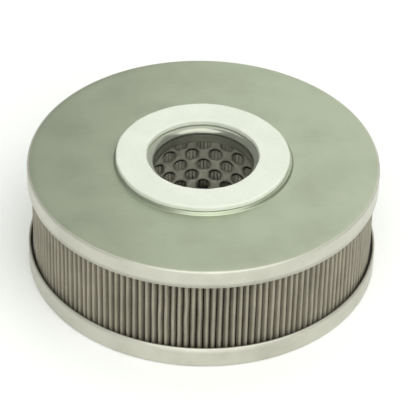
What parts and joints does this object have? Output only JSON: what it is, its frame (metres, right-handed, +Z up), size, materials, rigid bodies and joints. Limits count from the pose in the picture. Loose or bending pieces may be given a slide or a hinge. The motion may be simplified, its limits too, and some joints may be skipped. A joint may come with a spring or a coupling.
{
  "type": "pleated mesh filter element",
  "caption": "Short round filter element: pleated wire mesh on a perforated core between two drawn steel caps, with a felt ring round the top opening.",
  "frame": {"origin": "centre of the bottom cap's underside, at the height the element stands on", "axes": "+Z up along the element's own axis, towards the gasket; +Y is the side with the mesh pack's seam clip"},
  "size_m": [0.15, 0.15, 0.0539],
  "materials": {
    "top_cap_steel": "satin",
    "bottom_cap_steel": "satin",
    "gasket_felt": "matte",
    "adhesive_film": "satin",
    "potting_resin": "satin",
    "core_steel": "satin",
    "support_mesh_wire": "matte",
    "filter_mesh_wire": "matte",
    "clip_steel": "satin"
  },
  "bodies": {
    "root": {"top_end_cap": "top_cap_steel", "bottom_end_cap": "bottom_cap_steel", "sealing_gasket": "gasket_felt", "gasket_adhesive": "adhesive_film", "top_potting": "potting_resin", "bottom_potting": "potting_resin", "core_tube": "core_steel", "outer_support_mesh": "support_mesh_wire", "filter_mesh": "filter_mesh_wire", "inner_support_mesh": "support_mesh_wire", "pleat_seam_clip": "clip_steel"}
  },
  "joints": []
}
